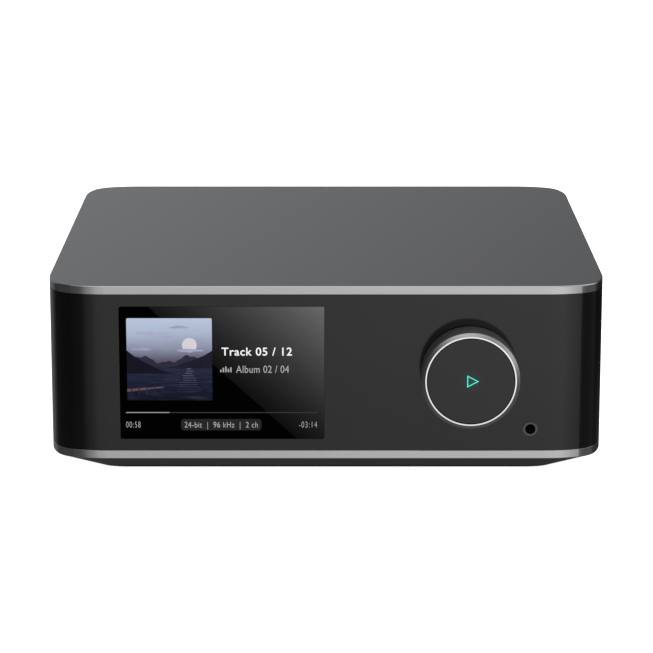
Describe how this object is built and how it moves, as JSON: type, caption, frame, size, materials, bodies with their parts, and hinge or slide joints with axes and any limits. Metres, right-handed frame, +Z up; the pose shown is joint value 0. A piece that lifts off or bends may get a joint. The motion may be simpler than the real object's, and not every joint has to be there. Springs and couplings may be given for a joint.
{
  "type": "network music streamer",
  "caption": "Square low desktop music streamer: glossy black wrap between two metal rims, flush screen, turning control with press cap, headphone socket and a full rear socket panel.",
  "frame": {"origin": "centre of the square footprint, on the surface that the foot rests on", "axes": "+X to the right seen from the front, the front faces -Y, +Z up"},
  "size_m": [0.205, 0.2273, 0.073],
  "materials": {
    "anodised_metal": "satin dark grey anodised",
    "gloss_black": "polished",
    "black_plastic": "fine texture",
    "soft_rubber": "matte",
    "screen_glass": "polished",
    "screen_frame": "rolled sheet",
    "knob_metal": "turned and anodised",
    "ring_metal": "dark anodised",
    "bright_metal": "polished",
    "cap_black": "satin gloss",
    "icon_light": "lit from behind",
    "circuit_board": "solder mask",
    "sheet_steel": "plated",
    "black_screw": "black oxide",
    "turned_brass": "bright",
    "chip_black": "moulded",
    "capacitor_sleeve": "shrunk sleeve",
    "ferrite": "fired",
    "sink_aluminium": "extruded",
    "wire_sleeve": "smooth",
    "contact_gold": "plated",
    "insulator": "moulded, in two colours"
  },
  "bodies": {
    "casing": {"top_cover": "anodised_metal", "bottom_frame": "anodised_metal", "main_housing": "gloss_black", "base_pan": "black_plastic", "rubber_foot": "soft_rubber", "rear_panel": "black_plastic", "display_glass": "screen_glass", "display_module": "screen_frame", "display_bracket": "sheet_steel", "display_ribbon": "wire_sleeve", "knob_spindle": "turned_brass", "knob_bracket": "sheet_steel", "wheel_sensor": "chip_black", "knob_spacers": "turned_brass", "knob_board": "circuit_board", "press_switches": "chip_black", "headphone_ring": "ring_metal", "headphone_socket": "black_plastic", "headphone_board": "circuit_board", "main_board": "circuit_board", "board_standoffs": "turned_brass", "processor_heat_sink": "sink_aluminium", "board_chips": "chip_black", "board_capacitors": "capacitor_sleeve", "psu_board": "circuit_board", "psu_transformer": "ferrite", "psu_capacitors": "capacitor_sleeve", "psu_heat_sink": "sink_aluminium", "supply_wiring": "wire_sleeve", "power_inlet": "black_plastic", "inlet_pins": "bright_metal", "rca_blocks": "chip_black", "rca_shells": "contact_gold", "rca_insulators": "insulator", "ground_post": "contact_gold", "optical_sockets": "black_plastic", "hdmi_socket": "sheet_steel", "usb_socket": "sheet_steel", "socket_tongues": "chip_black", "network_socket": "sheet_steel", "trigger_socket": "black_plastic", "pairing_board": "circuit_board", "wifi_antennas": "circuit_board", "cover_screws": "sheet_steel", "base_screws": "black_screw", "small_screws": "sheet_steel", "control_screws": "sheet_steel", "board_screws": "sheet_steel", "socket_screws": "black_screw"},
    "knob": {"knob_shell": "knob_metal", "knob_trim_ring": "bright_metal", "code_wheel": "sheet_steel", "hub_nut": "turned_brass"},
    "press_cap": {"knob_cap": "cap_black", "play_icon": "icon_light"},
    "ground_washer_body": {"ground_washer": "contact_gold"},
    "ground_nut": {"ground_thumb_nut": "contact_gold"},
    "optical_out_flap": {"optical_out_shutter": "black_plastic"},
    "optical_in_flap": {"optical_in_shutter": "black_plastic"},
    "pairing_key": {"pairing_button": "black_plastic"}
  },
  "joints": [
    {"name": "knob_turn", "type": "hinge", "parent": "casing", "child": "knob", "pos_m": [0.0525, -0.106, 0.04037], "axis": [0, 1, 0], "continuous": true},
    {"name": "cap_press", "type": "slide", "parent": "casing", "child": "press_cap", "axis": [0, 1, 0], "range_m": [0, 0.0006], "stiffness_N_per_m": 2500, "springref_m": -0.0003},
    {"name": "ground_washer_slide", "type": "slide", "parent": "casing", "child": "ground_washer_body", "axis": [0, 1, 0], "range_m": [0, 0.0021]},
    {"name": "ground_nut_turn", "type": "hinge", "parent": "ground_washer_body", "child": "ground_nut", "pos_m": [0.0772, 0.105, 0.042], "axis": [0, 1, 0], "range_deg": [0, 1080]},
    {"name": "optical_out_swing", "type": "hinge", "parent": "casing", "child": "optical_out_flap", "pos_m": [0.015, 0.1002, 0.0373], "axis": [-1, 0, 0], "range_deg": [0, 85], "stiffness_Nm_per_rad": 0.0008, "springref_deg": -22.92},
    {"name": "optical_in_swing", "type": "hinge", "parent": "casing", "child": "optical_in_flap", "pos_m": [0.027, 0.1002, 0.0373], "axis": [-1, 0, 0], "range_deg": [0, 85], "stiffness_Nm_per_rad": 0.0008, "springref_deg": -22.92},
    {"name": "pairing_press", "type": "slide", "parent": "casing", "child": "pairing_key", "axis": [0, -1, 0], "range_m": [0, 0.0008], "stiffness_N_per_m": 1500, "springref_m": -0.0002}
  ],
  "couplings": [
    {"joint": "ground_nut_turn", "follows": "ground_washer_slide", "rad_per_m": 8976}
  ]
}
